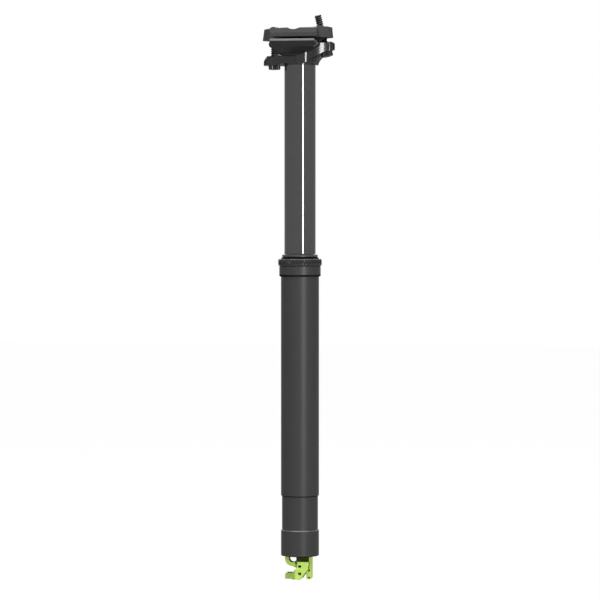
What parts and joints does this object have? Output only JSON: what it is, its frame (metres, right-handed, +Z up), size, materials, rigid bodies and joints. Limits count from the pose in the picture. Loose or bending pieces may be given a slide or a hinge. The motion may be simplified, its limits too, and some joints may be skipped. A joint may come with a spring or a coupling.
{
  "type": "dropper seatpost",
  "caption": "Telescopic bicycle seatpost: a black tube with a collar, a sliding stanchion, a tilting two-bolt saddle rail clamp and a lime green cable actuator under its foot.",
  "frame": {"origin": "on the post axis at the underside of the collar, where the post stops on a frame", "axes": "+Z up along the post, +X to the rear, +Y to the left of the rider facing -X"},
  "size_m": [0.0605, 0.0546, 0.4687],
  "materials": {
    "matte_black_tube": "matte black anodised",
    "satin_black_collar": "satin black anodised",
    "gloss_black_stanchion": "smooth black hard-anodised",
    "gloss_black_head": "polished black anodised",
    "satin_black_cradle": "satin black anodised",
    "black_steel": "black oxide",
    "plain_steel": "plain",
    "black_rubber": "matt",
    "bushing_plastic": "low-friction plastic",
    "key_brass": "plain brass",
    "bare_aluminium": "turned",
    "lime_anodised": "lime green anodised"
  },
  "bodies": {
    "lower_post": {"outer_tube": "matte_black_tube", "collar": "satin_black_collar", "wiper_seal": "black_rubber", "inner_seal": "black_rubber", "upper_bushing": "bushing_plastic", "base_washer": "bushing_plastic", "cartridge_rod": "bare_aluminium", "cartridge_piston": "bare_aluminium", "piston_seal": "black_rubber", "top_out_bumper": "black_rubber", "actuator_body": "lime_anodised", "lever_pivot_pin": "plain_steel", "lower_cross_pin": "plain_steel", "leg_pins": "plain_steel"},
    "upper_post": {"stanchion": "gloss_black_stanchion", "lower_bushing": "bushing_plastic", "anti_rotation_keys": "key_brass", "saddle_head": "gloss_black_head", "cartridge_cylinder": "bare_aluminium", "cartridge_guide": "bare_aluminium", "rod_seal": "black_rubber", "bottom_out_bumper": "black_rubber"},
    "rail_clamp": {"lower_cradle": "satin_black_cradle", "upper_cradle": "satin_black_cradle"},
    "front_bolt_set": {"front_bolt": "black_steel", "front_washer": "black_steel"},
    "rear_bolt_set": {"rear_bolt": "black_steel", "rear_washer": "black_steel"},
    "front_nut": {"front_barrel_nut": "plain_steel"},
    "rear_nut": {"rear_barrel_nut": "plain_steel"},
    "lever": {"actuator_lever": "lime_anodised"},
    "valve": {"valve_pin": "plain_steel"}
  },
  "joints": [
    {"name": "post_drop", "type": "slide", "parent": "lower_post", "child": "upper_post", "axis": [0, 0, 1], "range_m": [-0.15, 0], "stiffness_N_per_m": 200, "springref_m": 0.4},
    {"name": "saddle_tilt", "type": "hinge", "parent": "upper_post", "child": "rail_clamp", "pos_m": [-0.007, 0, 0.217], "axis": [0, 1, 0], "range_deg": [-5, 5]},
    {"name": "front_bolt_swing", "type": "hinge", "parent": "upper_post", "child": "front_bolt_set", "pos_m": [-0.0215, 0, 0.1765], "axis": [0, 1, 0], "range_deg": [-2.9, 2.9]},
    {"name": "rear_bolt_swing", "type": "hinge", "parent": "upper_post", "child": "rear_bolt_set", "pos_m": [0.022, 0, 0.1867], "axis": [0, 1, 0], "range_deg": [-5.65, 5.65]},
    {"name": "front_nut_turn", "type": "hinge", "parent": "rail_clamp", "child": "front_nut", "pos_m": [-0.0215, 0, 0.2023], "axis": [0, 1, 0], "range_deg": [-7.9, 7.9]},
    {"name": "rear_nut_turn", "type": "hinge", "parent": "rail_clamp", "child": "rear_nut", "pos_m": [0.01801, 0, 0.20343], "axis": [0, 1, 0], "range_deg": [-10.65, 10.65]},
    {"name": "valve_push", "type": "slide", "parent": "lower_post", "child": "valve", "axis": [0, 0, 1], "range_m": [0, 0.000694], "stiffness_N_per_m": 100, "springref_m": -0.005},
    {"name": "lever_pull", "type": "hinge", "parent": "lower_post", "child": "lever", "pos_m": [0.0011, 0, -0.2406], "axis": [0, -1, 0], "range_deg": [0, 20.1]}
  ],
  "couplings": [
    {"joint": "front_bolt_swing", "follows": "saddle_tilt", "ratio": -0.5698},
    {"joint": "rear_bolt_swing", "follows": "saddle_tilt", "ratio": -1.1133},
    {"joint": "front_nut_turn", "follows": "saddle_tilt", "ratio": -1.5698},
    {"joint": "rear_nut_turn", "follows": "saddle_tilt", "ratio": -2.1133},
    {"joint": "lever_pull", "follows": "valve_push", "rad_per_m": 502.55}
  ]
}
